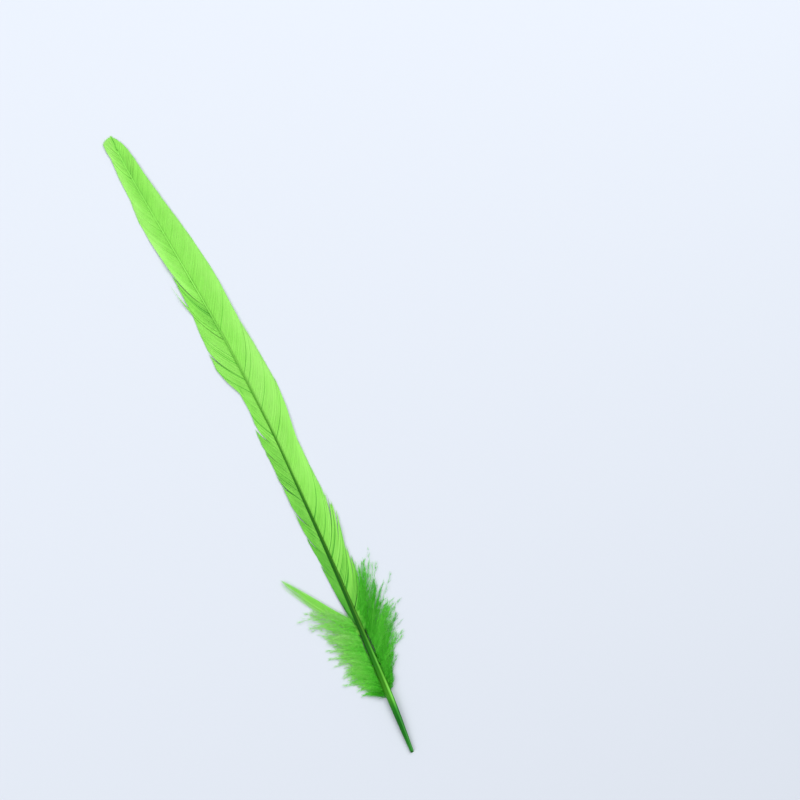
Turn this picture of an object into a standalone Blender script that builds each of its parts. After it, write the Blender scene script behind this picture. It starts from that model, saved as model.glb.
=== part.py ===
"""A pheasant tail feather, lying dorsal side up on a flat surface.

Metres, +Z up. The feather lies along Y, with its cut quill end at -Y and its blunt tip at +Y.
The narrow outer vane is on the -X side of the shaft and the wide inner vane on the +X side.
The origin is on the surface, at the middle of the feather's footprint.

The vanes, the down and the loose barbs are plain solids that reach as far as the real barbs do.
Inside the functions, y counts from the quill end and x from the straight line to the tip.
"""

import math

import bmesh
import bpy
from mathutils import Vector

MM = 0.001

# Driving dimensions
LENGTH = 298 * MM  # straight from the quill end to the tip
SHAFT_END = 293 * MM  # the rachis stops short of the last barbs
ARCH = 0.8 * MM  # how far the shaft's underside stands off the surface, half-way along
GAP = 0.3 * MM  # between the shaft and the solids beside it
VANE_THICKNESS = 0.5 * MM
VANE_LEVEL = 0.3  # the vanes leave the shaft this share of its radius above its middle
FLAT_FROM = 2 / 3  # the outer third of each vane lies flat on the surface
TIP_FROM = 0.965  # the outline rounds off from here to the tip
TIP_BLUNTNESS = 0.45  # share of the width that is left at the very end
DOWN_THICKNESS = 3.0 * MM
CLUMP_FLATNESS = 0.4  # height of the loose clump over its width

# Profiles along the feather: (share of LENGTH from the quill end, millimetres)
SIDEWAYS_BOW = [
    (0.0, 0.0), (0.06, 1.4), (0.12, 2.6), (0.28, 4.9), (0.44, 6.5),
    (0.52, 6.9), (0.68, 5.8), (0.84, 2.7), (0.92, 1.0), (1.0, 0.0),
]
SHAFT_RADIUS = [
    (0.0, 0.75), (0.03, 1.15), (0.065, 1.5), (0.10, 1.62), (0.15, 1.5), (0.21, 1.25), (0.275, 1.0),
    (0.37, 0.74), (0.45, 0.56), (0.52, 0.44), (0.66, 0.32), (0.80, 0.24), (1.0, 0.18),
]
OUTER_WIDTH = [
    (0.20, 2.8), (0.26, 3.2), (0.33, 4.4), (0.43, 5.3), (0.48, 5.6), (0.54, 4.6), (0.59, 4.4),
    (0.63, 8.6), (0.66, 8.5), (0.70, 7.6), (0.73, 6.4), (0.84, 6.6), (0.88, 6.3), (0.92, 4.8), (1.0, 4.0),
]
INNER_WIDTH = [
    (0.20, 6.8), (0.28, 8.2), (0.36, 9.4), (0.42, 7.9), (0.49, 7.5), (0.58, 10.5),
    (0.65, 9.7), (0.75, 9.8), (0.83, 8.7), (0.90, 6.2), (0.96, 4.6), (1.0, 4.0),
]

# Outlines beside the shaft: (millimetres from the quill end, millimetres out from the shaft's middle)
OUTER_DOWN = [
    (27, 2.2), (29, 7.5), (33, 10.8), (46, 13.4), (59, 15), (69.5, 19.5),
    (64.5, 12.5), (60.5, 7.5), (58, 4.5), (55.5, 2.0),
]
INNER_DOWN = [(28, 2.2), (32, 4.2), (40, 8), (51, 12.8), (62, 14), (76, 13.5), (66, 6), (59, 1.9)]
CLUMP_LINE = [(60, 2.9), (64, 5.2), (70, 9.6), (77, 14.3), (85, 19.3), (93, 23.8)]
CLUMP_RADIUS = [0.6, 1.7, 2.1, 2.0, 1.3, 0.3]

# Mesh density
SHAFT_STATIONS = 60
VANE_ROWS = 52
VANE_COLUMNS = 6
OUTLINE_STEPS = 4
CLUMP_STEPS = 5
TUBE_RESOLUTION = 3

OUTER = -1
INNER = 1


def profile(points, at):
    """The value at a place along a smooth line through points, each a (place, value)."""
    last = len(points) - 1
    i = sum(at >= place for place, _ in points) - 1
    i = max(0, min(last - 1, i))
    start, low = points[i]
    end, high = points[i + 1]
    before = points[max(i - 1, 0)]
    after = points[min(i + 2, last)]
    span = end - start
    slope_in = (high - before[1]) / (end - before[0]) * span
    slope_out = (after[1] - low) / (after[0] - start) * span
    k = (at - start) / span
    ease = 3 * k**2 - 2 * k**3
    curl = (k**3 - 2 * k**2 + k) * slope_in + (k**3 - k**2) * slope_out
    return low + (high - low) * ease + curl


def smooth_path(points, steps):
    """Points on a smooth line through points, with steps of them for each stretch."""
    columns = [list(enumerate(column)) for column in zip(*points)]
    count = (len(points) - 1) * steps
    return [[profile(column, i / steps) for column in columns] for i in range(count + 1)]


def shaft_radius(y):
    return profile(SHAFT_RADIUS, y / LENGTH) * MM


def shaft_middle(y):
    """The middle of the shaft: bowed sideways, and arched off the surface between its ends."""
    share = y / LENGTH
    lift = ARCH * 4 * share * (1 - share)
    return Vector((profile(SIDEWAYS_BOW, share) * MM, y, shaft_radius(y) + lift))


def vane_point(side, widths, foot, slant, across, along):
    """A point on a vane's underside. across runs from the shaft to the margin, along from foot to tip."""
    foot_here = foot + slant * across
    y = foot_here + (LENGTH - foot_here) * along
    rounding = max(0.0, (y / LENGTH - TIP_FROM) / (1 - TIP_FROM))
    width = profile(widths, y / LENGTH) * MM * math.sqrt(1 - rounding**2 * (1 - TIP_BLUNTNESS**2))
    middle = shaft_middle(y)
    x = middle.x + side * (shaft_radius(y) + GAP + across * width)
    root_height = max(0.0, middle.z + VANE_LEVEL * shaft_radius(y) - VANE_THICKNESS)
    droop = 0.5 + 0.5 * math.cos(math.pi * min(across / FLAT_FROM, 1.0))
    return Vector((x, y, root_height * droop))


def make_material(name, colour, roughness):
    material = bpy.data.materials.new(name)
    material.use_nodes = True
    shader = material.node_tree.nodes["Principled BSDF"]
    shader.inputs["Base Color"].default_value = (*colour, 1.0)
    shader.inputs["Roughness"].default_value = roughness
    shader.inputs["Metallic"].default_value = 0.0
    return material


def add_part(name, data, material, collection, parent):
    part = bpy.data.objects.new(name, data)
    data.materials.append(material)
    collection.objects.link(part)
    part.parent = parent
    return part


def tube_curve(name, middles, radii):
    """A tapering round tube through middles, with closed ends."""
    curve = bpy.data.curves.new(name, "CURVE")
    curve.dimensions = "3D"
    curve.bevel_depth = 1.0
    curve.bevel_resolution = TUBE_RESOLUTION
    curve.use_fill_caps = True
    spline = curve.splines.new("POLY")
    spline.points.add(len(middles) - 1)
    for point, middle, radius in zip(spline.points, middles, radii):
        point.co = (*middle, 1.0)
        point.radius = radius
    return curve


def make_shaft(collection, parent):
    """Quill and rachis in one: widest just above the quill's end, then tapering to the tip."""
    stations = [SHAFT_END * i / SHAFT_STATIONS for i in range(SHAFT_STATIONS + 1)]
    middles = [shaft_middle(y) for y in stations]
    curve = tube_curve("shaft", middles, [shaft_radius(y) for y in stations])
    keratin = make_material("dyed_shaft", (0.05, 0.16, 0.02), 0.3)
    add_part("shaft", curve, keratin, collection, parent)


def make_vane(name, side, widths, foot, slant, colour, collection, parent):
    """A thin sheet that falls from the shaft to the surface, with its outer third lying flat."""
    mesh = bpy.data.meshes.new(name)
    sheet = bmesh.new()
    bmesh.ops.create_grid(sheet, x_segments=VANE_COLUMNS, y_segments=VANE_ROWS, size=1.0)
    for vertex in sheet.verts:
        rightwards = (vertex.co.x + 1) / 2
        across = rightwards if side == INNER else 1 - rightwards
        along = (vertex.co.y + 1) / 2
        vertex.co = vane_point(side, widths, foot, slant, across, along)
    sheet.to_mesh(mesh)
    sheet.free()
    vane = add_part(name, mesh, make_material("dyed_" + name, colour, 0.6), collection, parent)
    wall = vane.modifiers.new("Solidify", "SOLIDIFY")
    wall.thickness = VANE_THICKNESS
    wall.offset = 1.0
    wall.use_even_offset = True


def make_down(name, side, outline, colour, collection, parent):
    """A flat pad with the outline of a tuft of down, whose inner edge follows the shaft."""
    edge = [(s * MM, out * MM) for s, out in smooth_path(outline, OUTLINE_STEPS)]
    foot = edge[0][0]
    top = edge[-1][0]
    inner_steps = 6
    for i in range(1, inner_steps):
        s = top + (foot - top) * i / inner_steps
        edge.append((s, shaft_radius(s) + GAP))
    curve = bpy.data.curves.new(name, "CURVE")
    curve.dimensions = "2D"
    curve.fill_mode = "BOTH"
    curve.extrude = DOWN_THICKNESS / 2
    spline = curve.splines.new("POLY")
    spline.points.add(len(edge) - 1)
    spline.use_cyclic_u = True
    for point, (s, out) in zip(spline.points, edge):
        out = max(out, shaft_radius(s) + GAP)
        point.co = (shaft_middle(s).x + side * out, s, 0.0, 1.0)
    down = add_part(name, curve, make_material("dyed_" + name, colour, 0.8), collection, parent)
    down.location.z = DOWN_THICKNESS / 2


def make_loose_barbs(collection, parent):
    """The clump of barbs that stands off from the foot of the outer vane, as one flattened taper."""
    line = smooth_path([(*place, r) for place, r in zip(CLUMP_LINE, CLUMP_RADIUS)], CLUMP_STEPS)
    middles = []
    radii = []
    for s, out, radius in line:
        x = shaft_middle(s * MM).x - out * MM
        middles.append(Vector((x, s * MM, radius * MM)))
        radii.append(radius * MM)
    curve = tube_curve("loose_barbs", middles, radii)
    barb = make_material("dyed_loose_barbs", (0.30, 0.82, 0.08), 0.6)
    clump = add_part("loose_barbs", curve, barb, collection, parent)
    clump.scale.z = CLUMP_FLATNESS


def centre_footprint(parts, base):
    """Moves base so that the middle of the feather's footprint is at the origin."""
    bpy.context.view_layer.update()
    graph = bpy.context.evaluated_depsgraph_get()
    corners = []
    for part in parts:
        evaluated = part.evaluated_get(graph)
        corners += [evaluated.matrix_world @ v.co for v in evaluated.to_mesh().vertices]
        evaluated.to_mesh_clear()
    lowest = [min(corner[i] for corner in corners) for i in range(3)]
    highest = [max(corner[i] for corner in corners) for i in range(3)]
    base.location.x = -(lowest[0] + highest[0]) / 2
    base.location.y = -(lowest[1] + highest[1]) / 2
    base.location.z = -lowest[2]


def main():
    for old in list(bpy.data.objects):
        bpy.data.objects.remove(old, do_unlink=True)
    collection = bpy.data.collections.new("pheasant_tail_feather")
    bpy.context.scene.collection.children.link(collection)
    base = bpy.data.objects.new("feather_base", None)
    collection.objects.link(base)

    make_shaft(collection, base)
    lime = (0.36, 0.90, 0.13)
    make_vane("outer_vane", OUTER, OUTER_WIDTH, 67 * MM, 8 * MM, lime, collection, base)
    make_vane("inner_vane", INNER, INNER_WIDTH, 63 * MM, 14 * MM, lime, collection, base)
    leaf_green = (0.10, 0.60, 0.04)
    make_down("outer_down", OUTER, OUTER_DOWN, leaf_green, collection, base)
    make_down("inner_down", INNER, INNER_DOWN, leaf_green, collection, base)
    make_loose_barbs(collection, base)
    centre_footprint([part for part in collection.objects if part.type != "EMPTY"], base)


main()
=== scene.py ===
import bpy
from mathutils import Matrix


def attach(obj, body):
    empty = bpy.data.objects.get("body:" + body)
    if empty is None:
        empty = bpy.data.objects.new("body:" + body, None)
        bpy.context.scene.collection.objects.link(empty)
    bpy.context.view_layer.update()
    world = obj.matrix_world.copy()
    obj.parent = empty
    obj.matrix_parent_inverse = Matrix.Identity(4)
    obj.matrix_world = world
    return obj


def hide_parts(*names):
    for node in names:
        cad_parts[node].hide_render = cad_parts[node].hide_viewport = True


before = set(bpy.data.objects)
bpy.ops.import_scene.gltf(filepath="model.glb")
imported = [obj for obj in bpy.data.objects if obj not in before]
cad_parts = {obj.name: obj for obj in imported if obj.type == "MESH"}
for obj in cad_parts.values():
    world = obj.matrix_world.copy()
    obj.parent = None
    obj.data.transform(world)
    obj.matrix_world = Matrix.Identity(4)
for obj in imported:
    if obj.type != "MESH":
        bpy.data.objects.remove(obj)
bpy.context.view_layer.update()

import math

import bpy
import numpy as np
from mathutils import Vector

# A dyed pheasant tail feather, lying dorsal side up. The feather lies along Y, with its quill
# end at -Y. Along the feather, s counts from the quill end, and out counts from the shaft's
# middle towards a margin. Both are metres in the functions and millimetres in the lists.

MM = 0.001
OUTER = -1  # the side of the narrow vane
INNER = 1  # the side of the wide vane
dice = np.random.default_rng(23)  # all chance comes from here, so each run gives the same feather

BARB_MAP = "OFBake"  # the barbs' own map: barb by barb across it, root to tip up it
# the shade holds each barb's dye and painted light: painted shade in dark streaks, in the outer
# vane's foot and in the down near the shaft, and a painted highlight on the down's stems
BARB_SHADE = "barb_shade"  # how much lighter or darker each barb took the dye

# ---------------------------------------------------------------- the shaft's line, from the frame


def read_shaft(node, ring_gap=1 * MM):
    """The middle and radius of each ring of the shaft's solid, from the quill end to its tip."""
    points = np.array([vertex.co for vertex in node.data.vertices])
    points = points[np.argsort(points[:, 1])]
    breaks = np.where(np.diff(points[:, 1]) > ring_gap)[0] + 1
    rings = np.split(points, breaks)
    middles = np.array([(ring.min(0) + ring.max(0)) / 2 for ring in rings])
    radii = np.array([np.ptp(ring[:, 0]) / 2 for ring in rings])
    return middles, radii


RING_MIDDLES, RING_RADII = read_shaft(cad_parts["shaft"])
QUILL_END = float(RING_MIDDLES[0, 1])


def shaft_x(s):
    return np.interp(QUILL_END + s, RING_MIDDLES[:, 1], RING_MIDDLES[:, 0])


def shaft_z(s):
    return np.interp(QUILL_END + s, RING_MIDDLES[:, 1], RING_MIDDLES[:, 2])


def shaft_radius(s):
    return np.interp(QUILL_END + s, RING_MIDDLES[:, 1], RING_RADII)


# ---------------------------------------------------------------- the vanes' sheet

VANE_LEVEL = 0.3  # the barbs leave the shaft this share of its radius above its middle
REST_HEIGHT = 0.18 * MM  # how high the middle of a barb lies where the vane meets the surface
# How far out each vane still falls towards the surface: (s, out), millimetres
OUTER_FALL = [(60, 3.2), (150, 3.8), (185, 5.8), (230, 4.6), (298, 2.6)]
INNER_FALL = [(60, 6.0), (110, 7.2), (190, 7.2), (240, 6.0), (298, 2.6)]
WAVE_HEIGHT = 0.22 * MM  # half the rise of the soft waves in a vane, full at its margin
WAVE_ALONG = 9 * MM  # how long these waves are, along the feather and outwards, each over 2 pi
WAVE_OUT = 4 * MM


def along_list(points, s):
    places, values = np.array(points).T * MM
    return np.interp(s, places, values)


def sheet_height(side, s, out):
    """How high a vane's sheet stands: highest at the shaft's side, and lying down at the margin."""
    fall = along_list(OUTER_FALL if side == OUTER else INNER_FALL, s)
    share = np.clip((out - shaft_radius(s)) / fall, 0, 1)
    root = shaft_z(s) + VANE_LEVEL * shaft_radius(s)
    wave = WAVE_HEIGHT * (1 + np.sin(s / WAVE_ALONG + out / WAVE_OUT + side))
    return root * (0.5 + 0.5 * np.cos(math.pi * share)) + REST_HEIGHT * share + wave * share


def in_row(side, s, out, z):
    """Places on the feather as places in the row frame."""
    return np.stack([shaft_x(s) + side * out, QUILL_END + s, z], axis=-1)


# ---------------------------------------------------------------- templates, modelled once

MAP_SPAN = 0.4  # how far each way a barb reaches across its own column of the map


class Template:
    """A slim closed blade one unit long that is modelled once and copied many times."""

    def __init__(self, points, faces, rings):
        self.points = points
        self.faces = faces
        self.rings = rings  # which ring each point belongs to, counted from the root


def select_nothing():
    if bpy.context.object and bpy.context.object.mode != "OBJECT":
        bpy.ops.object.mode_set(mode="OBJECT")
    bpy.ops.object.select_all(action="DESELECT")


def model_blade(sides, stations, profile):
    """A template, drawn out ring by ring from a small polygon. profile gives each ring's size."""
    select_nothing()
    bpy.ops.mesh.primitive_circle_add(
        vertices=sides, radius=1.0, fill_type="NGON", rotation=(math.pi / 2, 0, 0),
    )
    blade = bpy.context.object
    bpy.ops.object.transform_apply(rotation=True)
    bpy.ops.object.mode_set(mode="EDIT")
    bpy.ops.mesh.select_all(action="SELECT")
    size = 1.0
    step = (0, 1 / (stations - 1), 0)
    for i in range(1, stations):
        bpy.ops.mesh.extrude_region_move(TRANSFORM_OT_translate={"value": step})
        at = i / (stations - 1)
        grow = profile(at) / size
        bpy.ops.transform.resize(value=(grow, 1, grow), center_override=(0, at, 0))
        size *= grow
    bpy.ops.mesh.select_all(action="SELECT")
    bpy.ops.mesh.normals_make_consistent(inside=False)
    bpy.ops.object.mode_set(mode="OBJECT")
    points = np.array([vertex.co for vertex in blade.data.vertices])
    faces = [list(face.vertices) for face in blade.data.polygons]
    rings = np.rint(points[:, 1] * (stations - 1)).astype(int)
    bpy.data.objects.remove(blade, do_unlink=True)
    return Template(points, faces, rings)


def unit(vectors):
    return vectors / np.maximum(np.linalg.norm(vectors, axis=-1, keepdims=True), 1e-12)


def copy_along(template, lines, up, half_width, half_height):
    """Copies of the template, one bent along each line. up is which way each line's top faces."""
    points, rings = template.points, template.rings
    forward = unit(np.gradient(lines, axis=1))
    across = unit(np.cross(forward, up))
    top = np.cross(across, forward)
    return (
        lines[:, rings]
        + across[:, rings] * (points[:, 0] * half_width[:, rings])[..., None]
        + top[:, rings] * (points[:, 2] * half_height[:, rings])[..., None]
    )


def blade_map(template, count):
    """Where each point of the copies lies in the map: a column for each copy, from root to tip."""
    across = np.arange(count)[:, None] + 0.5 + MAP_SPAN * template.points[:, 0][None]
    map_u = across / count
    map_v = np.broadcast_to(template.rings[None] / template.rings.max(), map_u.shape)
    return map_u, map_v


def join_copies(name, template, placed, map_u, map_v, shade):
    """One mesh of all the placed copies, with its map and the shade along each copy."""
    count, size = placed.shape[:2]
    corners = np.concatenate([np.array(face) for face in template.faces])
    totals = np.array([len(face) for face in template.faces])
    all_corners = (corners[None, :] + (np.arange(count) * size)[:, None]).ravel()
    all_totals = np.tile(totals, count)
    mesh = bpy.data.meshes.new(name)
    mesh.vertices.add(count * size)
    mesh.vertices.foreach_set("co", placed.astype(np.float32).ravel())
    mesh.loops.add(len(all_corners))
    mesh.loops.foreach_set("vertex_index", all_corners.astype(np.int32))
    mesh.polygons.add(len(all_totals))
    starts = np.concatenate([[0], np.cumsum(all_totals)[:-1]])
    mesh.polygons.foreach_set("loop_start", starts.astype(np.int32))
    mesh.update(calc_edges=True)
    layer = mesh.uv_layers.new(name=BARB_MAP)
    uv = np.stack([map_u.ravel(), map_v.ravel()], axis=-1)[all_corners]
    layer.data.foreach_set("uv", uv.astype(np.float32).ravel())
    tone = mesh.attributes.new(BARB_SHADE, "FLOAT", "POINT")
    tone.data.foreach_set("value", shade[:, template.rings].astype(np.float32).ravel())
    mesh.validate()
    piece = bpy.data.objects.new(name, mesh)
    bpy.context.scene.collection.objects.link(piece)
    return piece


# ---------------------------------------------------------------- the vanes' barbs

VANE_STATIONS = 16
ROOT_DEPTH = 0.6  # barbs are rooted this share of the shaft's radius from its middle
CURVE_HOLD = 0.38  # for which share of its length a barb holds its first and its last direction
OVERLAP = 0.7  # a barb's half-width over the space to the next one: past 0.5 they overlap
EXTRA_WIDTH = 0.045 * MM  # added to each half-width, so that no slit shows between the barbs
TIP_EXTRA_WIDTH = 0.16 * MM  # the same where the barbs fan out round the feather's tip
BARB_HALF_HEIGHT = 0.05 * MM
SHINGLE = 0.14  # the slope by which each barb's outer edge stands higher than its inner one
TIP_STARTS = 286 * MM  # from here on the last barbs of both vanes may cross the middle
FAN_STARTS = TIP_STARTS - 8 * MM  # barbs rooted beyond here fan out round the tip
# Some barbs are drawn darker as painted shade, standing for shadowed slits between the barbs: this
# share of them, times the square of how far their tips scatter
SHADOW_STREAK_SHARE = 0.36
SHADOW_STREAK_DEPTH = 0.3  # how much darker these are
UNEVEN_BARB = 0.022  # how unevenly the dye took, barb by barb
UNEVEN_CLUSTER = 0.03  # and from one lot of clinging barbs to the next
OVER_REACH = 0.12  # how soon a panel's barbs sink back from over the panel below, as a share of it


def by_share(points, share):
    """The value at a share of the way along, from a list of (share, value)."""
    places, values = np.array(points).T
    return np.interp(share, places, values)


def blade_profile(t):
    """A barb keeps its width most of the way and runs out in a fine point."""
    return max(0.06, (1 - t**5) ** 0.6)


def curve_between(root, tip, leave, arrive, t):
    """Curves in the vane from roots to tips, each an (s, out), that leave and arrive at angles."""
    reach = np.linalg.norm(tip - root, axis=-1, keepdims=True)
    first = root + CURVE_HOLD * reach * np.stack([np.cos(leave), np.sin(leave)], axis=-1)
    second = tip - CURVE_HOLD * reach * np.stack([np.cos(arrive), np.sin(arrive)], axis=-1)
    t = t[None, :, None]
    return (
        (1 - t) ** 3 * root[:, None]
        + 3 * (1 - t) ** 2 * t * first[:, None]
        + 3 * (1 - t) * t**2 * second[:, None]
        + t**3 * tip[:, None]
    )


def margin_places(margin, count):
    """Evenly spaced places along a margin given as (s, out) in millimetres."""
    margin = np.array(margin) * MM
    lengths = np.concatenate([[0], np.cumsum(np.linalg.norm(np.diff(margin, axis=0), axis=1))])
    at = np.linspace(0, lengths[-1], count)
    return np.stack([np.interp(at, lengths, margin[:, i]) for i in range(2)], axis=-1)


def gather(paths, t, first, last, pull):
    """Draws the barbs from first to last together towards the middle one, most at their tips."""
    middle = paths[(first + last) // 2]
    paths[first:last] += (pull * t**1.7)[None, :, None] * (middle[None] - paths[first:last])


def clumps_of(count, sizes):
    """Splits count barbs into clumps of sizes drawn between two numbers: (first, last + 1) each."""
    starts = [0]
    while starts[-1] < count:
        starts.append(starts[-1] + int(dice.integers(*sizes)))
    starts[-1] = count
    return list(zip(starts[:-1], starts[1:]))


class Panel:
    """A stretch of vane whose barbs hold together. Its lists are (share of the panel, value), and
    its lengths are millimetres."""

    def __init__(
        self, roots, margin, spacing, leave, arrive, cling, pull, scatter, over, paleness, fade,
    ):
        self.roots = roots  # where on the shaft its first and last barbs are rooted
        self.margin = margin  # the line on which its barbs end, as (s, out)
        self.spacing = spacing  # between its barbs at the shaft
        self.leave = leave  # degrees from the shaft's line at which barbs leave the shaft
        self.arrive = arrive  # degrees from that line at which they end
        self.cling = cling  # how many barbs cling together: at least, and fewer than
        self.pull = pull  # how strongly these draw together at their tips
        self.scatter = scatter  # how far the tips scatter
        self.over = over  # how high its lowest barbs lie over the panel below
        # paleness holds painted shade as well as dye: the lowest outer panel is drawn darker, most
        # at its foot
        self.paleness = paleness  # how pale its barbs took the dye
        self.fade = fade  # how much paler they are at their tips


OUTER_PANELS = [
    # The lowest panel is drawn darker than the others and darkest at its foot by the shaft: painted
    # shade for the shadowed gaps among its ragged barbs.
    Panel(
        roots=(60, 162), spacing=0.6,
        margin=[(74, 3.9), (85, 4.8), (94, 5.3), (113, 6.0), (130, 6.3), (144, 6.7), (152, 6.2),
                (161, 5.4), (171, 5.0), (177, 4.6)],
        leave=[(0, 24), (1, 24)], arrive=[(0, 6), (1, 3)],
        cling=(4, 34), pull=0.2, scatter=0.4, over=0.0,
        paleness=[(0, 0.0), (0.05, 0.14), (0.12, 0.26), (0.45, 0.38), (1, 0.48)], fade=0.0,
    ),
    Panel(
        roots=(162.6, 213.6), spacing=0.5,
        margin=[(180, 6.4), (184, 8.6), (188, 9.6), (195, 9.2), (208, 8.3), (214, 7.3), (224, 7.0),
                (234, 6.5)],
        leave=[(0, 32), (1, 32)], arrive=[(0, 10), (1, 8)],
        cling=(14, 40), pull=0.1, scatter=0.25, over=0.25,
        paleness=[(0, 0.5), (1, 0.46)], fade=0.1,
    ),
    Panel(
        roots=(198, 201), spacing=0.9,
        margin=[(222, 8.6), (231, 9.4)],
        leave=[(0, 32), (1, 32)], arrive=[(0, 8), (1, 4)],
        cling=(2, 4), pull=0.3, scatter=0.2, over=0.5,
        paleness=[(0, 0.4), (1, 0.5)], fade=0.2,
    ),
    Panel(
        roots=(214.2, 293), spacing=0.48,
        margin=[(237, 6.2), (250, 7.1), (260, 7.0), (266, 6.2), (270, 5.4), (281, 4.9), (290, 4.0),
                (294, 4.4), (297.4, 4.2), (298.3, 2.8), (298.7, 1.2), (298.6, -0.6)],
        leave=[(0, 30), (0.8, 28), (1, 4)], arrive=[(0, 6), (0.85, 6), (1, 2)],
        cling=(12, 36), pull=0.035, scatter=0.12, over=0.8,
        paleness=[(0, 0.48), (1, 0.36)], fade=0.34,
    ),
]
INNER_PANELS = [
    Panel(
        roots=(57, 97), spacing=0.5,
        margin=[(75, 8.6), (84, 9.7), (89, 9.0), (94, 8.2), (101, 9.6), (110, 10.9), (116, 10.0),
                (120, 9.2)],
        leave=[(0, 40), (1, 38)], arrive=[(0, 12), (1, 12)],
        cling=(5, 16), pull=0.36, scatter=0.7, over=0.0,
        paleness=[(0, 0.08), (0.25, 0.34), (0.5, 0.46), (1, 0.5)], fade=0.16,
    ),
    Panel(
        roots=(97.4, 180), spacing=0.44,
        margin=[(121, 9.3), (130, 8.9), (146, 8.5), (153, 9.3), (160, 10.4), (172, 11.4),
                (182, 11.0), (192, 10.6), (203, 9.9)],
        leave=[(0, 38), (1, 38)], arrive=[(0, 9), (1, 9)],
        cling=(24, 70), pull=0.03, scatter=0.17, over=0.1,
        paleness=[(0, 0.5), (1, 0.54)], fade=0.2,
    ),
    Panel(
        roots=(180.3, 293), spacing=0.42,
        margin=[(204, 9.9), (212, 10.0), (222, 10.4), (230, 10.3), (246, 9.3), (254, 8.5),
                (263, 7.4), (270, 6.6), (278, 5.7), (286, 5.1), (290.5, 4.4), (294, 3.4),
                (296.8, 1.9), (298.3, 0.4), (298.5, -0.8)],
        leave=[(0, 36), (0.8, 32), (1, 4)], arrive=[(0, 8), (0.85, 6), (1, 2)],
        cling=(34, 90), pull=0.01, scatter=0.08, over=0.1,
        paleness=[(0, 0.54), (0.5, 0.46), (1, 0.36)], fade=0.2,
    ),
]


def panel_barbs(panel):
    """The paths in the vane, half-widths, lifts off the sheet and shades of one panel's barbs."""
    count = int((panel.roots[1] - panel.roots[0]) / panel.spacing)
    share = np.linspace(0, 1, count)
    t = np.linspace(0, 1, VANE_STATIONS)
    s_root = np.linspace(*panel.roots, count) * MM
    root = np.stack([s_root, ROOT_DEPTH * shaft_radius(s_root)], axis=-1)
    tip = margin_places(panel.margin, count)
    leave = np.radians(by_share(panel.leave, share))
    arrive = np.radians(by_share(panel.arrive, share))
    paths = curve_between(root, tip, leave, arrive, t)
    along = np.gradient(paths, axis=1)
    beside = np.gradient(paths, axis=0)
    spread = np.abs(along[..., 0] * beside[..., 1] - along[..., 1] * beside[..., 0])
    spread /= np.maximum(np.linalg.norm(along, axis=-1), 1e-9)
    extra = np.where(s_root > FAN_STARTS, TIP_EXTRA_WIDTH, EXTRA_WIDTH)
    half_width = OVERLAP * spread + extra[:, None]
    shade = by_share(panel.paleness, share) + dice.normal(0, UNEVEN_BARB, count)
    # painted shade: a few barbs are drawn dark, as shadowed slits
    shade -= np.where(dice.random(count) < SHADOW_STREAK_SHARE * panel.scatter**2, SHADOW_STREAK_DEPTH, 0)
    lift = np.zeros((count, VANE_STATIONS))
    for first, last in clumps_of(count, panel.cling):
        gather(paths, t, first, last, panel.pull * dice.uniform(0.3, 1.6))
        lean = dice.normal(0, 1) * panel.scatter * MM
        paths[first:last, :, 1] += lean * 0.5 * t**2
        paths[first:last, :, 0] += lean * 0.8 * t**2
        shade[first:last] += dice.normal(0, UNEVEN_CLUSTER)
        lift[first:last] += abs(dice.normal(0, 0.3)) * panel.scatter * MM * t**2
    stray = dice.normal(0, 1, (count, 1)) * panel.scatter * MM * t**3
    paths[..., 0] += 1.2 * stray
    paths[..., 1] += 0.25 * stray
    over = panel.over * MM * t * np.exp(-share / OVER_REACH)[:, None]
    lift += over + dice.uniform(0, 0.05, (count, 1)) * MM
    return paths, half_width, lift, shade[:, None] + panel.fade * t[None]


def make_vane(name, side, panels, blade):
    """All the barbs of one vane as one piece."""
    found = [panel_barbs(panel) for panel in panels]
    paths, half_width, lift, shade = (np.concatenate(part) for part in zip(*found))
    s = paths[..., 0]
    out = np.where(s > TIP_STARTS, paths[..., 1], np.maximum(paths[..., 1], 0.1 * MM))
    height = sheet_height(side, s, out)
    lines = in_row(side, s, out, height + lift)
    nudge = 0.2 * MM  # the sheet's slope is measured over this
    rise_out = (sheet_height(side, s, out + nudge) - height) / nudge
    lean = side * (-rise_out) - side * SHINGLE
    up = unit(np.stack([lean, np.zeros_like(s), np.ones_like(s)], axis=-1))
    half_height = np.full_like(half_width, BARB_HALF_HEIGHT)
    placed = copy_along(blade, lines, up, half_width, half_height)
    return join_copies(name, blade, placed, *blade_map(blade, len(s)), shade)


# ---------------------------------------------------------------- the down

DOWN_STATIONS = 12
FIBRE_STATIONS = 3
LOCK_SIZES = (5, 15)  # how many downy barbs gather in one lock: at least, and fewer than
WISP_SHARE = 0.14  # of the downy barbs are wisps that reach beyond the rest
WISP_LENGTH = 1.3
STEM_HALF_WIDTH = 0.06 * MM
STEM_LOWEST = 0.15 * MM  # no point of a stem's middle line lies lower over the surface
FIBRE_HALF_WIDTH = 0.07 * MM
FIBRE_LOWEST = 0.12 * MM
FIBRE_FLATNESS = 0.2  # a barbule's height over its width
# painted highlight: the stems are drawn paler than their barbules, as lit pale lines in the fluff
STEM_HIGHLIGHT = 0.25  # how much paler a stem is than its barbules
FIBRE_TIP_PALER = 0.06  # how much paler a barbule grows from each of its rings to the next
UNEVEN_DOWN = 0.07  # how unevenly the dye took: by lock, by barb and by barbule


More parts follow.
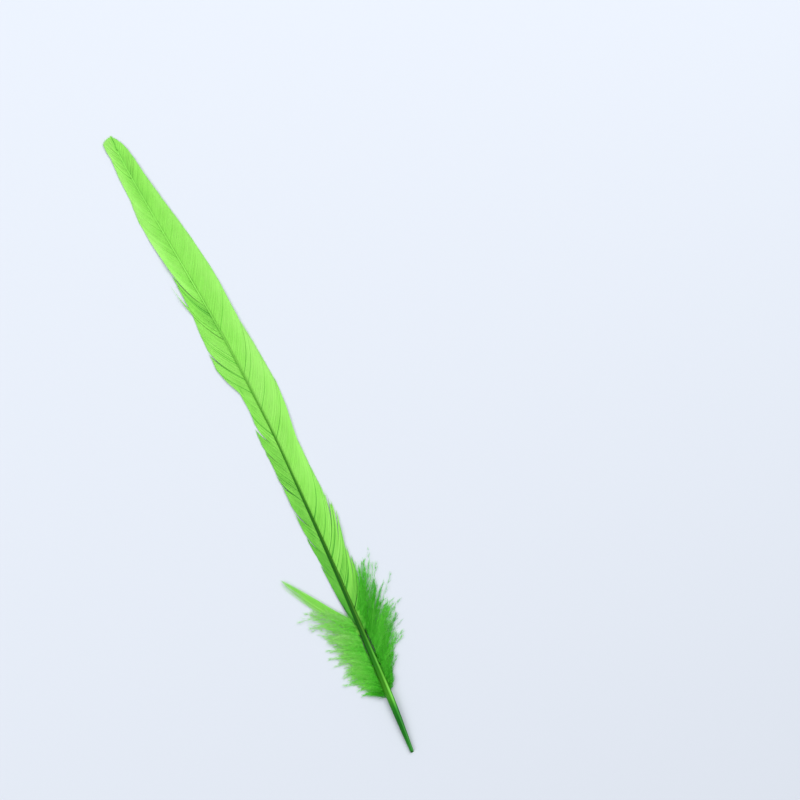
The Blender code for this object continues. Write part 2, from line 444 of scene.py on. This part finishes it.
class Tuft:
    """A tuft of downy barbs. Its lists are (share of the roots, value), from the lowest root to the
    highest, and its lengths are millimetres."""

    def __init__(
        self, side, roots, count, lengths, leave, arrive, disorder, barbules, paleness, fade,
    ):
        self.side = side
        self.roots = roots  # where on the shaft its lowest and highest barbs are rooted
        self.count = count
        self.lengths = lengths
        self.leave = leave  # degrees from the shaft's line at which barbs leave the shaft
        self.arrive = arrive  # degrees from that line at which they end
        self.disorder = disorder  # degrees by which they stray from these angles
        self.barbules = barbules  # how long the barbules are, and half their number on a barb
        # paleness holds painted shade as well as dye: the inner tuft is drawn darker than the outer
        self.paleness = paleness  # how pale the barbs took the dye
        # fade is painted shade: the downy barbs are drawn darker near the shaft and paler towards
        # their tips
        self.fade = fade  # how much paler they are at their tips


OUTER_TUFT = Tuft(
    OUTER, roots=(26, 62.5), count=200,
    lengths=[(0, 9), (0.1, 13), (0.4, 16), (0.8, 20), (1, 23)],
    leave=[(0, 42), (0.4, 42), (1, 44)], arrive=[(0, 66), (0.4, 63), (1, 64)],
    disorder=10, barbules=(2.6, 29), paleness=[(0, 0.0), (0.4, 0.2), (1, 0.54)], fade=0.7,
)
# The inner tuft is drawn darker than the outer, as painted shade.
INNER_TUFT = Tuft(
    INNER, roots=(28, 65), count=190,
    lengths=[(0, 8), (0.15, 15), (0.5, 21), (1, 23)],
    leave=[(0, 24), (0.3, 38), (1, 34)], arrive=[(0, 30), (0.3, 36), (1, 22)],
    disorder=8, barbules=(2.6, 31), paleness=[(0, 0.1), (1, 0.12)], fade=0.18,
)


def stem_profile(t):
    """A downy barb's stem thins evenly towards its tip."""
    return 1 - 0.8 * t


def fibre_profile(t):
    """A barbule thins evenly to a point."""
    return 1 - 0.85 * t


def tuft_lines(tuft):
    """The downy barbs' lines in the row frame, the shares along them, and each barb's lock and share
    of the way up the roots. A lock strays its own way from a smooth curve, its barbs draw together
    towards their tips, and each barb wanders a little."""
    share = np.sort(dice.uniform(0, 1, tuft.count))
    t = np.linspace(0, 1, DOWN_STATIONS)
    found = clumps_of(tuft.count, LOCK_SIZES)
    lock = np.repeat(np.arange(len(found)), [last - first for first, last in found])
    length = by_share(tuft.lengths, share) * dice.uniform(0.66, 1.02, tuft.count) * MM
    stretch = np.where(dice.random(tuft.count) < WISP_SHARE, WISP_LENGTH, 1)
    length *= stretch * dice.uniform(0.88, 1.08, len(found))[lock]
    spread = dice.normal(0, 0.4 * tuft.disorder, len(found))[lock]
    spread = spread + dice.normal(0, 0.9 * tuft.disorder, tuft.count)
    leave = by_share(tuft.leave, share) + 0.6 * spread
    arrive = by_share(tuft.arrive, share) + 1.6 * spread
    heading = leave[:, None] + (arrive - leave)[:, None] * t**0.9
    sway = dice.uniform(0, 2 * math.pi, len(found))[lock][:, None]
    sway = sway + dice.normal(0, 0.6, (tuft.count, 1))
    swing = dice.uniform(0.5, 2.2, (tuft.count, 1)) * tuft.disorder
    heading = np.radians(heading + swing * np.sin(sway + 6 * t) * t)
    step = (length / (DOWN_STATIONS - 1))[:, None]
    root_s = (tuft.roots[0] + (tuft.roots[1] - tuft.roots[0]) * share) * MM
    s = root_s[:, None] + np.cumsum(np.cos(heading) * step, axis=1)
    root_out = ROOT_DEPTH * shaft_radius(root_s)
    out = root_out[:, None] + np.cumsum(np.sin(heading) * step, axis=1)
    paths = np.stack([s, out], axis=-1)
    for first, last in found:
        gather(paths, t, first, last, dice.uniform(0.05, 0.4))
    root_z = shaft_z(root_s) + dice.uniform(-0.5, 0.4, tuft.count) * shaft_radius(root_s)
    tip_z = dice.uniform(0.3, 1.2, tuft.count) * MM
    puff = dice.uniform(0.0, 0.5, tuft.count) * MM
    z = root_z[:, None] + (tip_z - root_z)[:, None] * t + puff[:, None] * np.sin(math.pi * t)
    return in_row(tuft.side, paths[..., 0], paths[..., 1], z), t, lock, share


def barbule_lines(lines, t, length, each):
    """Short fibres off both sides of each barb, leaning towards its tip and curving with it. They
    come with their share of the way along the barb, and with which barb each grows from."""
    count = len(lines)
    up = np.array([0.0, 0.0, 1.0])
    at = np.sort(dice.uniform(0.0, 1.0, (count, 2 * each)), axis=1) ** 1.12
    index = at * (len(t) - 1)
    low = np.minimum(index.astype(int), len(t) - 2)
    part = (index - low)[..., None]
    barb = np.arange(count)[:, None]
    root = lines[barb, low] * (1 - part) + lines[barb, low + 1] * part
    forward = unit(lines[barb, low + 1] - lines[barb, low])
    way = np.where(dice.random(at.shape) < 0.5, -1.0, 1.0)[..., None]
    beside = way * unit(np.cross(forward, up))
    beside = unit(beside + dice.normal(0, 0.3, at.shape)[..., None] * up)
    lean = np.radians(dice.uniform(14, 50, at.shape) - 8 * at)[..., None]
    reach = (length * MM * dice.uniform(0.5, 1.2, at.shape) * (1.12 - 0.48 * at))[..., None]
    middle = root + 0.5 * reach * (np.cos(lean) * forward + np.sin(lean) * beside)
    lean = lean * dice.uniform(0.2, 1.0, at.shape)[..., None]
    tip = middle + 0.5 * reach * (np.cos(lean) * forward + np.sin(lean) * beside)
    found = np.stack([root, middle, tip], axis=2).reshape(-1, FIBRE_STATIONS, 3)
    found[..., 2] = np.maximum(found[..., 2], FIBRE_LOWEST)
    return found, at.ravel(), np.repeat(np.arange(count), 2 * each)


def straight_up(lines):
    """For each point of the lines, a direction across them that leans as near +Z as it can."""
    forward = unit(np.gradient(lines, axis=1))
    up = np.zeros_like(lines)
    up[..., 2] = 1.0
    return unit(up - forward * np.sum(up * forward, axis=-1, keepdims=True) + 1e-6)


def join_pieces(name, pieces):
    """Several loose meshes joined as one piece."""
    select_nothing()
    for piece in pieces:
        piece.select_set(True)
    bpy.context.view_layer.objects.active = pieces[0]
    bpy.ops.object.join()
    pieces[0].name = name
    return pieces[0]


def make_down(name, tuft, stem, fibre):
    """A tuft: each downy barb is a thin stem with flat barbules down both its sides."""
    lines, t, lock, share = tuft_lines(tuft)
    lines[..., 2] = np.maximum(lines[..., 2], STEM_LOWEST)
    count = len(lines)
    own = by_share(tuft.paleness, share)
    own += dice.normal(0, UNEVEN_DOWN, count) + dice.normal(0, UNEVEN_DOWN, lock[-1] + 1)[lock]
    # painted shade: darker near the shaft, paler towards the tips
    tone = own[:, None] + tuft.fade * t[None]
    thick = np.full(lines.shape[:2], STEM_HALF_WIDTH)
    stems = copy_along(stem, lines, straight_up(lines), thick, thick)
    barb_u = (np.arange(count) + 0.5) / count
    stem_u = np.broadcast_to(barb_u[:, None], (count, len(stem.points)))
    stem_v = np.broadcast_to(stem.rings[None] / (DOWN_STATIONS - 1), stem_u.shape)
    # the stems carry a painted highlight
    stem_piece = join_copies(name, stem, stems, stem_u, stem_v, tone + STEM_HIGHLIGHT)
    length, each = tuft.barbules
    fine, at, parent = barbule_lines(lines, t, length, each)
    broad = np.full(fine.shape[:2], FIBRE_HALF_WIDTH)
    fibres = copy_along(fibre, fine, straight_up(fine), broad, FIBRE_FLATNESS * broad)
    fibre_u = np.broadcast_to(barb_u[parent][:, None], (len(fine), len(fibre.points)))
    fibre_v = np.broadcast_to(at[:, None], fibre_u.shape)
    # the barbules carry the same painted shade, darker near the shaft
    fibre_tone = own[parent] + tuft.fade * at + dice.normal(0, UNEVEN_DOWN, len(fine))
    fibre_tone = fibre_tone[:, None] + FIBRE_TIP_PALER * np.arange(FIBRE_STATIONS)[None]
    fibre_piece = join_copies(name + "_fibres", fibre, fibres, fibre_u, fibre_v, fibre_tone)
    return join_pieces(name, [stem_piece, fibre_piece])


# ---------------------------------------------------------------- the loose clump

CLUMP_BARBS = 34
# The clump's middle line as (s, out), and half its width as (share of the line, width), millimetres
CLUMP_LINE = [
    (56.5, 1.0), (60, 2.9), (64, 5.2), (70, 9.6), (77, 14.3), (83, 18.1), (89, 21.8), (93.2, 23.9),
]
CLUMP_HALF_WIDTH = [
    (0, 0.8), (0.15, 1.7), (0.35, 2.1), (0.6, 1.9), (0.75, 1.4), (0.9, 0.65), (1, 0.15),
]
CLUMP_ROOT = 0.6  # it leaves the shaft this share of the way up to the shaft's middle
CLUMP_LIFT = 0.3 * MM  # how high over the surface it lies once it is clear of the shaft
CLUMP_ARCH = 0.4 * MM  # how much higher its tip stands
CLUMP_CUP = 0.25 * MM  # how much higher its middle stands than its edges
CLUMP_EXTRA_WIDTH = 0.05 * MM  # added to each barb's half-width, so that the barbs overlap


def make_clump(name, blade):
    """Barbs that cling together in the shape of a slim leaf and stand off from the shaft. Its lower
    barbs end short of the tip, one after another, and stray from the rest."""
    t = np.linspace(0, 1, VANE_STATIONS)
    spine = np.array(CLUMP_LINE) * MM
    places = np.linspace(0, 1, len(spine))
    s = np.interp(t, places, spine[:, 0])
    out = np.interp(t, places, spine[:, 1])
    turn = np.arctan2(np.gradient(out), np.gradient(s))
    rank = np.linspace(-1, 1, CLUMP_BARBS)  # from the upper edge to the lower
    offset = rank[:, None] * by_share(CLUMP_HALF_WIDTH, t)[None] * MM
    ends = 1 - (0.04 + 0.6 * np.clip(rank, 0, 1)) * dice.uniform(0.0, 1.0, CLUMP_BARBS)
    stray = (0.12 + np.clip(rank, 0, 1)) * dice.normal(0.5, 1.1, CLUMP_BARBS) * MM
    paths_s = np.empty((CLUMP_BARBS, VANE_STATIONS))
    paths_out = np.empty_like(paths_s)
    for i in range(CLUMP_BARBS):
        at = t * ends[i]
        away = offset[i] + stray[i] * at**2
        paths_s[i] = np.interp(at, t, s - np.sin(turn) * away)
        paths_out[i] = np.interp(at, t, out + np.cos(turn) * away)
    z = CLUMP_ROOT * shaft_z(spine[0, 0]) * (1 - t) ** 2 + CLUMP_LIFT + CLUMP_ARCH * t
    cup = CLUMP_CUP * (1 - rank[:, None] ** 2) + dice.uniform(0, 0.2, (CLUMP_BARBS, 1)) * MM
    lines = in_row(OUTER, paths_s, paths_out, z[None] + cup)
    half_width = 0.5 * np.gradient(offset, axis=0) + CLUMP_EXTRA_WIDTH
    half_height = np.full_like(half_width, BARB_HALF_HEIGHT)
    placed = copy_along(blade, lines, straight_up(lines), half_width, half_height)
    shade = dice.normal(0.42, 0.09, (CLUMP_BARBS, 1)) + 0.2 * t[None]
    return join_copies(name, blade, placed, *blade_map(blade, CLUMP_BARBS), shade)


# ---------------------------------------------------------------- the shaft

SHAFT_SIDES = 20
SHAFT_STEP = 3.5 * MM
SHAFT_LENGTH = float(RING_MIDDLES[-1, 1] - QUILL_END)
FLATTENING = 0.12  # how much flatter than wide the rachis is
FLAT_FROM = 80 * MM  # the shaft flattens evenly as far as this from the quill's end
TIP_SHRINK = 0.3  # how much of its last ring's width is left at the rachis's very end
CUT_RISE = 1.5 * MM  # the quill's end is cut at a slant, open on its upper side
CUT_SLANT = math.radians(35)
QUILL_WALL = 0.22 * MM
QUILL_HOLLOW = 2.5 * MM  # how deep the cut end is open
# the shaft's side places the painted highlight along its back and the painted shade on its flanks
SHAFT_SIDE = "shaft_side"  # -1 on the shaft's outer flank, 0 along its back, 1 on its inner flank


def extrude_shaft():
    """The shaft as one closed solid, drawn out ring by ring: round at the quill, and a little
    flatter than wide along the rachis."""
    stations = np.append(np.arange(0, SHAFT_LENGTH, SHAFT_STEP), SHAFT_LENGTH)
    place = [Vector((float(shaft_x(s)), QUILL_END + float(s), float(shaft_z(s)))) for s in stations]
    radius = [float(shaft_radius(s)) for s in stations]
    bpy.ops.mesh.primitive_circle_add(
        vertices=SHAFT_SIDES, radius=radius[0], fill_type="NGON", location=place[0],
        rotation=(math.pi / 2, 0, 0),
    )
    bpy.ops.object.transform_apply(location=True, rotation=True)
    bpy.ops.object.mode_set(mode="EDIT")
    bpy.ops.mesh.select_all(action="SELECT")
    flat = 1.0
    for i in range(1, len(stations)):
        bpy.ops.mesh.extrude_region_move(TRANSFORM_OT_translate={"value": place[i] - place[i - 1]})
        grow = radius[i] / radius[i - 1]
        next_flat = 1.0 - FLATTENING * min(1.0, stations[i] / FLAT_FROM)
        bpy.ops.transform.resize(value=(grow, 1, grow * next_flat / flat), center_override=place[i])
        flat = next_flat
    bpy.ops.transform.resize(value=(TIP_SHRINK, 1, TIP_SHRINK), center_override=place[-1])
    bpy.ops.mesh.select_all(action="SELECT")
    bpy.ops.mesh.normals_make_consistent(inside=False)


def cut_quill():
    """Cuts the quill's end at a slant and hollows it for a short way."""
    cut_at = (RING_MIDDLES[0, 0], QUILL_END + 0.5 * CUT_RISE, RING_MIDDLES[0, 2])
    slant = (0, -math.cos(CUT_SLANT), math.sin(CUT_SLANT))
    bpy.ops.mesh.select_all(action="SELECT")
    bpy.ops.mesh.bisect(plane_co=cut_at, plane_no=slant, use_fill=True, clear_outer=True)
    bpy.ops.mesh.inset(thickness=QUILL_WALL)
    bpy.ops.mesh.extrude_region_move(TRANSFORM_OT_translate={"value": (0, QUILL_HOLLOW, 0)})
    bpy.ops.transform.resize(value=(0.7, 1, 0.7))
    bpy.ops.mesh.select_all(action="SELECT")
    bpy.ops.mesh.normals_make_consistent(inside=False)


def make_shaft(name):
    """Quill and rachis in one, from the cut end to the tip."""
    select_nothing()
    extrude_shaft()
    cut_quill()
    bpy.ops.object.mode_set(mode="OBJECT")
    shaft = bpy.context.object
    shaft.name = name
    bpy.ops.object.shade_smooth_by_angle(angle=math.radians(40))
    points = np.array([vertex.co for vertex in shaft.data.vertices])
    s = points[:, 1] - QUILL_END
    side = (points[:, 0] - shaft_x(s)) / shaft_radius(s)
    mark = shaft.data.attributes.new(SHAFT_SIDE, "FLOAT", "POINT")
    mark.data.foreach_set("value", side.astype(np.float32))
    return shaft


# ---------------------------------------------------------------- materials


def srgb(colour):
    """A hex sRGB colour as linear RGBA."""
    parts = [int(colour[i : i + 2], 16) / 255 for i in (1, 3, 5)]
    return (*[c / 12.92 if c <= 0.04045 else ((c + 0.055) / 1.055) ** 2.4 for c in parts], 1.0)


def add_node(tree, kind, inputs=None, links=None, **settings):
    """Adds a shader node with its settings, socket values and what feeds its sockets."""
    node = tree.nodes.new(kind)
    for name, value in settings.items():
        setattr(node, name, value)
    for socket, value in (inputs or {}).items():
        node.inputs[socket].default_value = value
    for socket, source in (links or {}).items():
        tree.links.new(source, node.inputs[socket])
    return node


def set_stops(ramp, stops):
    """Gives a colour ramp its stops: (place, hex colour)."""
    elements = ramp.color_ramp.elements
    while len(elements) > 1:
        elements.remove(elements[-1])
    elements[0].position, elements[0].color = stops[0][0], srgb(stops[0][1])
    for place, colour in stops[1:]:
        elements.new(place).color = srgb(colour)


def new_material(name):
    material = bpy.data.materials.new(name)
    material.use_nodes = True
    material.node_tree.nodes.clear()
    return material, material.node_tree


KERATIN_IOR = 1.54
RAMP_LENGTH = 300  # the shaft's colour ramps run this far from the quill's end, millimetres
# From the deepest dye to the palest: (level, colour). The darkest stop works as painted shade, for
# the dark streaks and the outer vane's dark foot.
LIME_TONES = [
    (0, "#1E6A12"), (0.12, "#46AE26"), (0.3, "#6CCA3E"), (0.5, "#94EE59"), (0.72, "#AAF872"),
    (1, "#C4FC98"),
]
DOWN_TONES = [
    (0, "#34B416"), (0.3, "#5CE238"), (0.55, "#84FA56"), (0.8, "#9CFF6C"), (1, "#B4FF8C"),
]
# The shaft's dye colours from the quill's end, with painted light: darker in its flanks as painted
# shade, and lighter along its back as a painted highlight: (millimetres, colour)
FLANK_SHADE_TONES = [
    (0, "#2E8428"), (8, "#15700F"), (16, "#0C640A"), (22, "#1A760E"), (27, "#3A8C12"),
    (33, "#34800A"), (42, "#1F7404"), (50, "#186C00"), (60, "#105600"), (72, "#125900"),
    (100, "#155E00"), (115, "#1E6404"), (130, "#2A7406"), (150, "#387F10"), (170, "#4E9A22"),
    (190, "#62B036"), (207, "#7ACC4C"), (224, "#98F062"),
]
BACK_HIGHLIGHT_TONES = [
    (0, "#4AA044"), (10, "#469840"), (17, "#42963A"), (21, "#48A43C"), (26, "#86E45C"),
    (32, "#80D84E"), (37, "#66BC3A"), (43, "#6EC648"), (50, "#56AA34"), (60, "#528F28"),
    (72, "#4A8224"), (90, "#3E741A"), (102, "#3A7010"), (115, "#3C8218"), (130, "#4E9626"),
    (150, "#58A22E"), (170, "#6CB83C"), (190, "#7CCA4A"), (207, "#8AE058"), (224, "#98F062"),
]


def dyed_barb(name, stops, see_through, gloss, fuzz):
    """Keratin barbs steeped in acid dye: thin enough for light to come through, with a soft sheen.
    Each barb's colour follows its shade: dye that took a little differently, with painted shade and
    painted highlight drawn into it in places."""
    material, tree = new_material(name)
    place = add_node(tree, "ShaderNodeTexCoord")
    own_map = add_node(tree, "ShaderNodeUVMap", uv_map=BARB_MAP)
    tone = add_node(tree, "ShaderNodeAttribute", attribute_name=BARB_SHADE)
    # clouds of stronger and weaker dye about 6 mm across
    cloud = add_node(
        tree, "ShaderNodeTexNoise", {"Scale": 160.0, "Detail": 3.0},
        {"Vector": place.outputs["Object"]},
    )
    cloudy = add_node(
        tree, "ShaderNodeMapRange", {"To Min": -0.1, "To Max": 0.1},
        {"Value": cloud.outputs["Fac"]},
    )
    level = add_node(
        tree, "ShaderNodeMath", links={0: tone.outputs["Fac"], 1: cloudy.outputs["Result"]},
    )
    ramp = add_node(tree, "ShaderNodeValToRGB", links={"Fac": level.outputs[0]})
    set_stops(ramp, stops)
    # barbules leave a barb every 0.05 mm or so: drawn 0.3 to 0.4 mm apart, so that they show
    barbules = add_node(
        tree, "ShaderNodeTexNoise", {"Scale": 70.0, "Detail": 1.0},
        {"Vector": own_map.outputs["UV"]},
    )
    bump = add_node(
        tree, "ShaderNodeBump", {"Strength": 0.3, "Distance": 0.03 * MM},
        {"Height": barbules.outputs["Fac"]},
    )
    front = add_node(
        tree, "ShaderNodeBsdfPrincipled",
        {"Roughness": 0.5, "IOR": KERATIN_IOR, "Specular IOR Level": gloss, "Sheen Weight": fuzz,
         "Sheen Roughness": 0.4, "Sheen Tint": srgb("#D8FFB0")},
        {"Base Color": ramp.outputs["Color"], "Normal": bump.outputs[0]},
    )
    back = add_node(tree, "ShaderNodeBsdfTranslucent", links={"Color": ramp.outputs["Color"]})
    both = add_node(
        tree, "ShaderNodeMixShader", {"Fac": see_through},
        {1: front.outputs[0], 2: back.outputs[0]},
    )
    add_node(tree, "ShaderNodeOutputMaterial", links={"Surface": both.outputs[0]})
    return material


def dyed_shaft():
    """Horn-like keratin steeped in acid dye, with a soft gloss. Light and shade are painted into its
    colour: deep green painted shade at the flanks of the rachis, and a painted highlight along the
    quill's back, a little to its inner side, standing for the light that comes through the thin wall
    into the hollow."""
    material, tree = new_material("green_dyed_horn")
    place = add_node(tree, "ShaderNodeTexCoord")
    parts = add_node(tree, "ShaderNodeSeparateXYZ", links={"Vector": place.outputs["Object"]})
    share = add_node(
        tree, "ShaderNodeMapRange",
        {"From Min": QUILL_END, "From Max": QUILL_END + RAMP_LENGTH * MM},
        {"Value": parts.outputs["Y"]},
    )
    # the flanks' colours carry painted shade, and the back's colours a painted highlight
    flank_shade = add_node(tree, "ShaderNodeValToRGB", links={"Fac": share.outputs["Result"]})
    set_stops(flank_shade, [(s / RAMP_LENGTH, colour) for s, colour in FLANK_SHADE_TONES])
    back = add_node(tree, "ShaderNodeValToRGB", links={"Fac": share.outputs["Result"]})
    set_stops(back, [(s / RAMP_LENGTH, colour) for s, colour in BACK_HIGHLIGHT_TONES])
    # growth streaks about 0.25 mm wide and 8 mm long, along the shaft
    stretch = add_node(
        tree, "ShaderNodeMapping", {"Scale": (4000.0, 120.0, 4000.0)},
        {"Vector": place.outputs["Object"]},
    )
    streak = add_node(
        tree, "ShaderNodeTexNoise", {"Scale": 1.0, "Detail": 2.0}, {"Vector": stretch.outputs[0]},
    )
    side = add_node(tree, "ShaderNodeAttribute", attribute_name=SHAFT_SIDE)
    # the streaks make the edges of the painted highlight band wander
    strayed = add_node(
        tree, "ShaderNodeMath", {1: 0.35}, {0: streak.outputs["Fac"], 2: side.outputs["Fac"]},
        operation="MULTIPLY_ADD",
    )
    # the painted highlight is a band to the inner side of the middle, with soft edges; outside it
    # the flanks show their painted shade
    highlight_band = add_node(tree, "ShaderNodeValToRGB", links={"Fac": strayed.outputs[0]})
    set_stops(highlight_band, [(0.3, "#000000"), (0.68, "#FFFFFF"), (0.86, "#FFFFFF"), (1.0, "#404040")])
    # sockets 6 and 7 and output 2 are this node's colour ones
    colour = add_node(
        tree, "ShaderNodeMix",
        links={0: highlight_band.outputs["Color"], 6: flank_shade.outputs["Color"], 7: back.outputs["Color"]},
        data_type="RGBA",
    )
    bump = add_node(
        tree, "ShaderNodeBump", {"Strength": 0.2, "Distance": 0.05 * MM},
        {"Height": streak.outputs["Fac"]},
    )
    face = add_node(
        tree, "ShaderNodeBsdfPrincipled",
        {"Roughness": 0.42, "IOR": KERATIN_IOR, "Specular IOR Level": 0.12},
        {"Base Color": colour.outputs[2], "Normal": bump.outputs[0]},
    )
    add_node(tree, "ShaderNodeOutputMaterial", links={"Surface": face.outputs[0]})
    return material


# ---------------------------------------------------------------- stage, light and camera

SOFTBOX_SIZE = (1.2, 0.9)
FLOOR_SIZE = 6.0


def add_softbox(name, place, watts):
    lamp = bpy.data.lights.new(name, "AREA")
    lamp.shape = "RECTANGLE"
    lamp.size, lamp.size_y = SOFTBOX_SIZE
    lamp.energy = watts
    softbox = bpy.data.objects.new(name, lamp)
    softbox.location = place
    softbox.rotation_euler = (-softbox.location).to_track_quat("-Z", "Y").to_euler()
    bpy.context.scene.collection.objects.link(softbox)


def make_stage():
    select_nothing()
    bpy.ops.mesh.primitive_plane_add(size=FLOOR_SIZE, location=(0, 0, 0))
    floor = bpy.context.object
    floor.name = "floor"
    material, tree = new_material("matt_white_board")
    face = add_node(
        tree, "ShaderNodeBsdfPrincipled", {"Base Color": srgb("#D9DEE6"), "Roughness": 0.9},
    )
    add_node(tree, "ShaderNodeOutputMaterial", links={"Surface": face.outputs[0]})
    floor.data.materials.append(material)

    world = bpy.data.worlds.new("soft_room")
    bpy.context.scene.world = world
    world.use_nodes = True
    sky = world.node_tree.nodes["Background"]
    sky.inputs["Color"].default_value = srgb("#F4F8FF")
    sky.inputs["Strength"].default_value = 0.43
    add_softbox("key_softbox", (0.75, 0.6, 1.1), 15.5)
    add_softbox("fill_softbox", (-0.85, 0.1, 1.0), 8.0)
    bpy.context.scene.view_settings.view_transform = "Standard"


VIEW_WIDTH = 348 * MM  # how much of the surface the camera sees across
FEATHER_TURN = math.radians(26.2)  # how far the feather's tip leans to the left of upright
LOOK_AT = (62.8 * MM, 140.2 * MM)  # what it looks at, measured from the quill's end along X and Y


def make_camera():
    data = bpy.data.cameras.new("overhead")
    data.lens = 85.0
    data.sensor_width = 36.0
    camera = bpy.data.objects.new("overhead", data)
    distance = VIEW_WIDTH / data.sensor_width * data.lens
    camera.location = (RING_MIDDLES[0, 0] + LOOK_AT[0], QUILL_END + LOOK_AT[1], distance)
    camera.rotation_euler = (0, 0, -FEATHER_TURN)
    bpy.context.scene.collection.objects.link(camera)
    bpy.context.scene.camera = camera


# ---------------------------------------------------------------- the feather

make_camera()
make_stage()

blade = model_blade(4, VANE_STATIONS, blade_profile)
outer_vane = make_vane("outer_barbs", OUTER, OUTER_PANELS, blade)
inner_vane = make_vane("inner_barbs", INNER, INNER_PANELS, blade)
clump = make_clump("clinging_barbs", blade)
stem = model_blade(3, DOWN_STATIONS, stem_profile)
fibre = model_blade(3, FIBRE_STATIONS, fibre_profile)
outer_down = make_down("outer_fluff", OUTER_TUFT, stem, fibre)
inner_down = make_down("inner_fluff", INNER_TUFT, stem, fibre)
shaft = make_shaft("feather_shaft")

lime = dyed_barb("lime_dyed_barb", LIME_TONES, see_through=0.08, gloss=0.25, fuzz=0.08)
leaf = dyed_barb("green_dyed_down", DOWN_TONES, see_through=0.04, gloss=0.05, fuzz=0.12)
horn = dyed_shaft()
FINISHED = (
    (shaft, horn, "shaft", "shaft"),
    (outer_vane, lime, "outer_vane", "vane"),
    (inner_vane, lime, "inner_vane", "vane"),
    (outer_down, leaf, "outer_down", "down"),
    (inner_down, leaf, "inner_down", "down"),
    (clump, lime, "loose_barbs", "vane"),
)
for piece, finish, node, slot in FINISHED:
    piece.data.materials.append(finish)
    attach(piece, "root")
    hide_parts(node)
